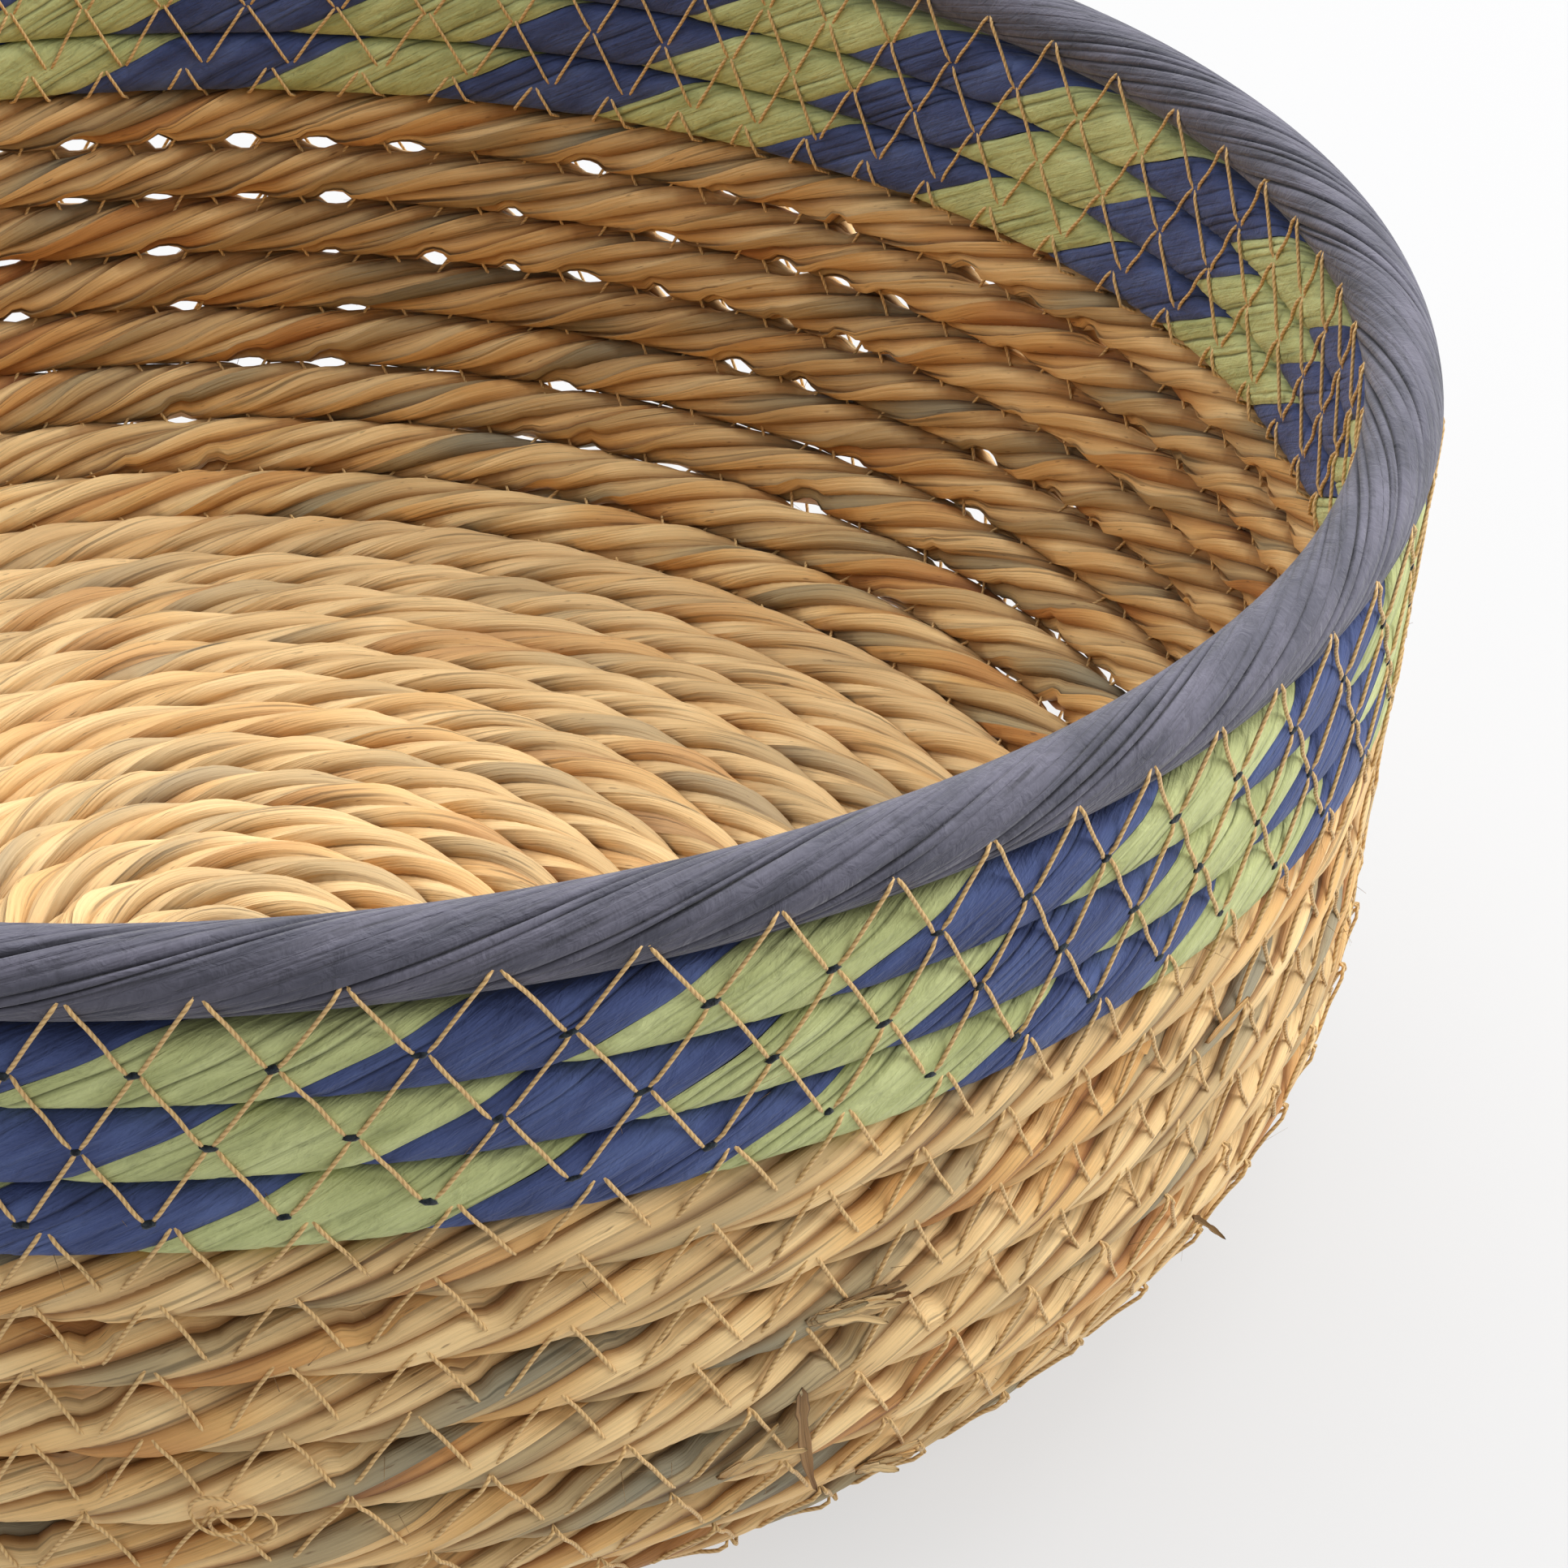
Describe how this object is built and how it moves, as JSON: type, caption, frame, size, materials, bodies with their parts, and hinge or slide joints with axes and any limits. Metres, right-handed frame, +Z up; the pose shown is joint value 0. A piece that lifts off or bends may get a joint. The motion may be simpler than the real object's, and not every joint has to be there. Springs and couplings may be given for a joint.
{
  "type": "coiled basket",
  "caption": "Round shallow basket of coiled grass rope with a band of blue and green paper cord, a slate paper rim and zigzag stitching.",
  "frame": {"origin": "on the coil's axis, in the plane of the flat underside", "axes": "+Z up, out of the basket's mouth; +X and +Y lie in the plane it stands on, and -Y is the side seen from the front"},
  "size_m": [0.3461, 0.3462, 0.1248],
  "materials": {
    "natural_grass": "dry twisted leaf, matt with a faint sheen on the flat fibres",
    "blue_paper": "twisted paper cord, finely crinkled, matt",
    "green_paper": "twisted paper cord, finely crinkled, matt",
    "slate_paper": "twisted crinkled paper, matt",
    "sewing_thread": "two-ply thread with a slight sheen"
  },
  "bodies": {
    "root": {"floor_coil": "natural_grass", "corner_rope_turn_1": "natural_grass", "corner_rope_turn_2": "natural_grass", "corner_rope_turn_3": "natural_grass", "corner_rope_turn_4": "natural_grass", "corner_rope_turn_5": "natural_grass", "corner_rope_turn_6": "natural_grass", "wall_rope_turn_1": "natural_grass", "wall_rope_turn_2": "natural_grass", "wall_rope_turn_3": "natural_grass", "wall_rope_turn_4": "natural_grass", "band_cord_1_blue_ply": "blue_paper", "band_cord_1_green_ply": "green_paper", "band_cord_2_blue_ply": "blue_paper", "band_cord_2_green_ply": "green_paper", "band_cord_3_blue_ply": "blue_paper", "band_cord_3_green_ply": "green_paper", "rim_cord": "slate_paper", "band_seam_thread_1": "sewing_thread", "band_seam_thread_2": "sewing_thread", "band_seam_thread_3": "sewing_thread", "rim_seam_thread": "sewing_thread"}
  },
  "joints": []
}
